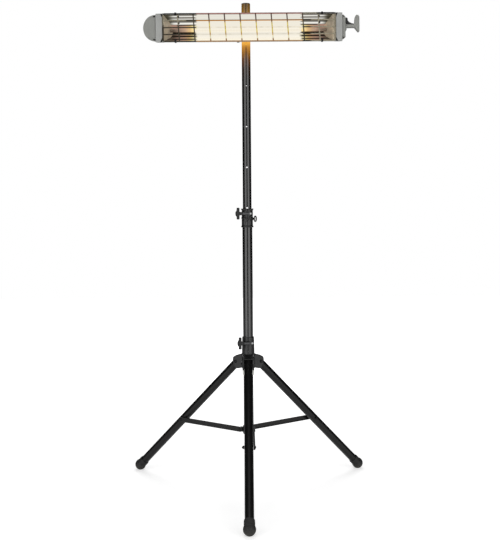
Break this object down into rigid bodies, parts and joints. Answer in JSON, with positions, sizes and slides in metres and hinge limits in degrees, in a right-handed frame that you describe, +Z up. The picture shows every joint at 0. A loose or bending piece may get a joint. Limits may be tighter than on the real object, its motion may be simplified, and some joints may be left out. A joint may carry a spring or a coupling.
{
  "type": "infrared patio heater tower",
  "caption": "Long infrared lamp head with wire guard and T grip, on a telescopic pole with a folding tripod stand.",
  "frame": {"origin": "on the floor, under the middle of the whole outline", "axes": "+Z up, the lamp head faces -Y and lies along X, the T grip is at +X"},
  "size_m": [0.988, 0.8618, 1.952],
  "materials": {
    "black_powder_coat": "satin black powder coat on steel tube",
    "black_moulding": "glass filled nylon, fine moulded grain",
    "black_rubber": "matt moulded rubber",
    "pale_nylon": "natural nylon",
    "bright_steel": "zinc plated",
    "black_steel": "black zinc",
    "grey_paint": "satin grey powder coat on aluminium",
    "polished_reflector": "bright rolled reflector sheet",
    "quartz_lamp": "clear quartz, glowing",
    "porcelain": "unglazed steatite",
    "guard_wire": "heat tinted bronze wire"
  },
  "bodies": {
    "base": {"base_tube": "black_powder_coat", "upper_collar": "black_moulding", "collar_bush": "pale_nylon", "collar_bolt": "bright_steel", "lower_hub": "black_moulding"},
    "collar_knob": {"collar_knob": "black_moulding"},
    "safety_pin": {"safety_pin": "black_steel"},
    "pin_ring": {"pin_ring": "black_steel"},
    "mast": {"upper_pole": "black_powder_coat", "top_cap": "black_moulding", "pole_slider": "pale_nylon", "pole_clamp": "black_moulding"},
    "clamp_knob": {"clamp_knob": "black_moulding"},
    "head": {"housing": "grey_paint", "reflector": "polished_reflector", "reflector_end_left": "polished_reflector", "reflector_end_right": "polished_reflector", "lamp_tube": "quartz_lamp", "lamp_holder_left": "porcelain", "lamp_holder_right": "porcelain", "guard_grille": "guard_wire", "guard_clip_top_left": "black_steel", "guard_clip_top_right": "black_steel", "guard_clip_bottom_left": "black_steel", "guard_clip_bottom_right": "black_steel", "left_flange": "grey_paint", "left_dome": "grey_paint", "right_flange": "grey_paint", "right_cap": "grey_paint", "handle": "grey_paint", "cable_inlet": "black_moulding", "terminal_block": "porcelain", "tilt_bracket": "black_powder_coat", "tilt_bolt": "bright_steel"},
    "tilt_knob": {"tilt_knob": "black_moulding"},
    "hub": {"hub": "black_moulding", "hub_bush": "pale_nylon", "hub_bolt": "bright_steel", "leg_bolt_1": "black_steel", "leg_bolt_2": "black_steel", "leg_bolt_3": "black_steel"},
    "hub_knob": {"hub_knob": "black_moulding"},
    "leg_1": {"leg_1": "black_powder_coat", "foot_1": "black_rubber", "dome_nut_1": "black_steel"},
    "brace_1": {"brace_1": "black_powder_coat", "brace_bolt_1": "black_steel", "brace_pin_1": "black_steel"},
    "leg_2": {"leg_2": "black_powder_coat", "foot_2": "black_rubber", "dome_nut_2": "black_steel"},
    "brace_2": {"brace_2": "black_powder_coat", "brace_bolt_2": "black_steel", "brace_pin_2": "black_steel"},
    "leg_3": {"leg_3": "black_powder_coat", "foot_3": "black_rubber", "dome_nut_3": "black_steel"},
    "brace_3": {"brace_3": "black_powder_coat", "brace_bolt_3": "black_steel", "brace_pin_3": "black_steel"}
  },
  "joints": [
    {"name": "mast_slide", "type": "slide", "parent": "base", "child": "mast", "axis": [0, 0, 1], "range_m": [-0.6, 0.05]},
    {"name": "head_tilt", "type": "hinge", "parent": "mast", "child": "head", "pos_m": [0, 0.09205, 1.826], "axis": [1, 0, 0], "range_deg": [-30, 45]},
    {"name": "hub_slide", "type": "slide", "parent": "base", "child": "hub", "axis": [0, 0, 1], "range_m": [0, 0.389]},
    {"name": "collar_knob_turn", "type": "hinge", "parent": "base", "child": "collar_knob", "pos_m": [-0.0366, 0.10805, 1.1085], "axis": [1, 0, 0], "continuous": true},
    {"name": "hub_knob_turn", "type": "hinge", "parent": "hub", "child": "hub_knob", "pos_m": [-0.0321, 0.10505, 0.5885], "axis": [1, 0, 0], "continuous": true},
    {"name": "tilt_knob_turn", "type": "hinge", "parent": "head", "child": "tilt_knob", "pos_m": [-0.0261, 0.09205, 1.826], "axis": [1, 0, 0], "continuous": true},
    {"name": "clamp_knob_turn", "type": "hinge", "parent": "mast", "child": "clamp_knob", "pos_m": [-0.0316, 0.16605, 1.826], "axis": [1, 0, 0], "continuous": true},
    {"name": "safety_pin_pull", "type": "slide", "parent": "base", "child": "safety_pin", "axis": [1, 0, 0], "range_m": [0, 0.03]},
    {"name": "pin_ring_swing", "type": "hinge", "parent": "safety_pin", "child": "pin_ring", "pos_m": [0.0278, 0.13605, 1.087], "axis": [0, 0, 1], "range_deg": [-60, 60]},
    {"name": "leg_1_fold", "type": "hinge", "parent": "hub", "child": "leg_1", "pos_m": [0, 0.08905, 0.511], "axis": [1, 0, 0], "range_deg": [0, 42.45]},
    {"name": "brace_1_fold", "type": "hinge", "parent": "base", "child": "brace_1", "pos_m": [0, 0.10805, 0.237], "axis": [-1, 0, 0], "range_deg": [0, 80.6]},
    {"name": "leg_2_fold", "type": "hinge", "parent": "hub", "child": "leg_2", "pos_m": [0.0407, 0.15955, 0.511], "axis": [-0.5, 0.866, 0], "range_deg": [0, 42.45]},
    {"name": "brace_2_fold", "type": "hinge", "parent": "base", "child": "brace_2", "pos_m": [0.02425, 0.15005, 0.237], "axis": [0.5, -0.866, 0], "range_deg": [0, 80.6]},
    {"name": "leg_3_fold", "type": "hinge", "parent": "hub", "child": "leg_3", "pos_m": [-0.0407, 0.15955, 0.511], "axis": [-0.5, -0.866, 0], "range_deg": [0, 42.45]},
    {"name": "brace_3_fold", "type": "hinge", "parent": "base", "child": "brace_3", "pos_m": [-0.02425, 0.15005, 0.237], "axis": [0.5, 0.866, 0], "range_deg": [0, 80.6]}
  ],
  "couplings": [
    {"joint": "leg_1_fold", "follows": "hub_slide", "rad_per_m": 1.9021},
    {"joint": "brace_1_fold", "follows": "hub_slide", "rad_per_m": 3.6119},
    {"joint": "leg_2_fold", "follows": "hub_slide", "rad_per_m": 1.9021},
    {"joint": "brace_2_fold", "follows": "hub_slide", "rad_per_m": 3.6119},
    {"joint": "leg_3_fold", "follows": "hub_slide", "rad_per_m": 1.9021},
    {"joint": "brace_3_fold", "follows": "hub_slide", "rad_per_m": 3.6119}
  ]
}
